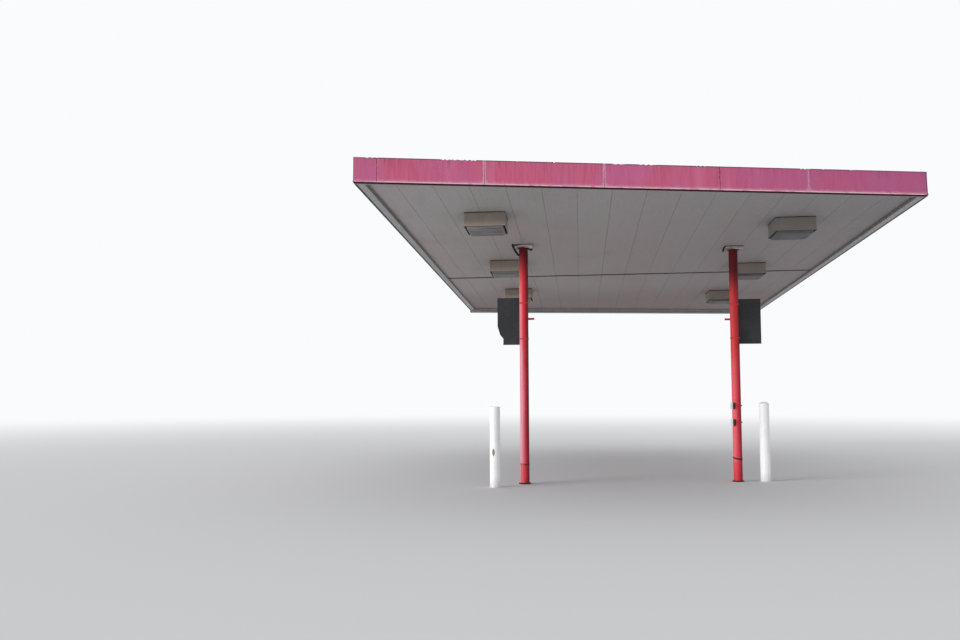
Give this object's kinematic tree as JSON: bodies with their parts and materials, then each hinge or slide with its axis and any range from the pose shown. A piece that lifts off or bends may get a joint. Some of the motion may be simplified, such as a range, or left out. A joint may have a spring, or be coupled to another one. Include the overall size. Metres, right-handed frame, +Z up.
{
  "type": "filling station canopy",
  "caption": "Flat forecourt canopy on pipe posts: boxed roof with skewed front and rear edges, pan soffit, surface lights, side plates and guard bollards.",
  "frame": {"origin": "middle of the left post's base plate, on its underside at ground level", "axes": "+Z up, +X across the canopy to the right, +Y along its sides towards the building behind"},
  "size_m": [6.9961, 12.9784, 4.2102],
  "materials": {
    "post_paint": "glossy red paint, faded and chalky, with rust at the foot",
    "collar_sheet": "dull grey paint on sheet steel, bent and stained",
    "arm_paint": "faded red paint",
    "trim_paint": "dull light grey paint",
    "fascia_sheet": "chalky faded raspberry red paint on sheet metal",
    "joint_strip": "dark grime on grey paint",
    "soffit_pans": "dull warm grey paint on formed sheet",
    "lens_plastic": "clouded ribbed plastic",
    "light_housing": "dull beige paint, stained",
    "plate_black": "black paint, slightly glossy",
    "outlet_box": "white paint",
    "bollard_paint": "thick white paint with chips",
    "roof_felt": "bitumen felt with mineral grit",
    "deck_steel": "galvanised sheet",
    "edge_steel": "dark maroon paint",
    "structural_steel": "red-brown primer"
  },
  "bodies": {
    "root": {"left_post": "post_paint", "right_post": "post_paint", "left_collar": "collar_sheet", "right_collar": "collar_sheet", "left_girder": "structural_steel", "right_girder": "structural_steel", "left_side_beam": "structural_steel", "right_side_beam": "structural_steel", "front_beam": "edge_steel", "rear_beam": "structural_steel", "left_rear_bracket": "structural_steel", "right_rear_bracket": "structural_steel", "purlins": "structural_steel", "roof_deck": "deck_steel", "roof_covering": "roof_felt", "front_fascia": "fascia_sheet", "left_fascia": "fascia_sheet", "right_fascia": "fascia_sheet", "front_soffit": "soffit_pans", "rear_soffit": "soffit_pans", "soffit_joint": "joint_strip", "left_edge_trim": "trim_paint", "right_edge_trim": "trim_paint", "rear_trim": "trim_paint", "front_left_light": "light_housing", "front_right_light": "light_housing", "middle_left_light": "light_housing", "middle_right_light": "light_housing", "rear_left_light": "light_housing", "rear_right_light": "light_housing", "front_left_lens": "lens_plastic", "front_right_lens": "lens_plastic", "middle_left_lens": "lens_plastic", "middle_right_lens": "lens_plastic", "rear_left_lens": "lens_plastic", "rear_right_lens": "lens_plastic", "left_plate": "plate_black", "right_plate": "plate_black", "left_plate_arm": "arm_paint", "right_plate_arm": "arm_paint", "upper_outlet_box": "outlet_box", "lower_outlet_box": "outlet_box", "left_bollard": "bollard_paint", "right_bollard": "bollard_paint"}
  },
  "joints": []
}
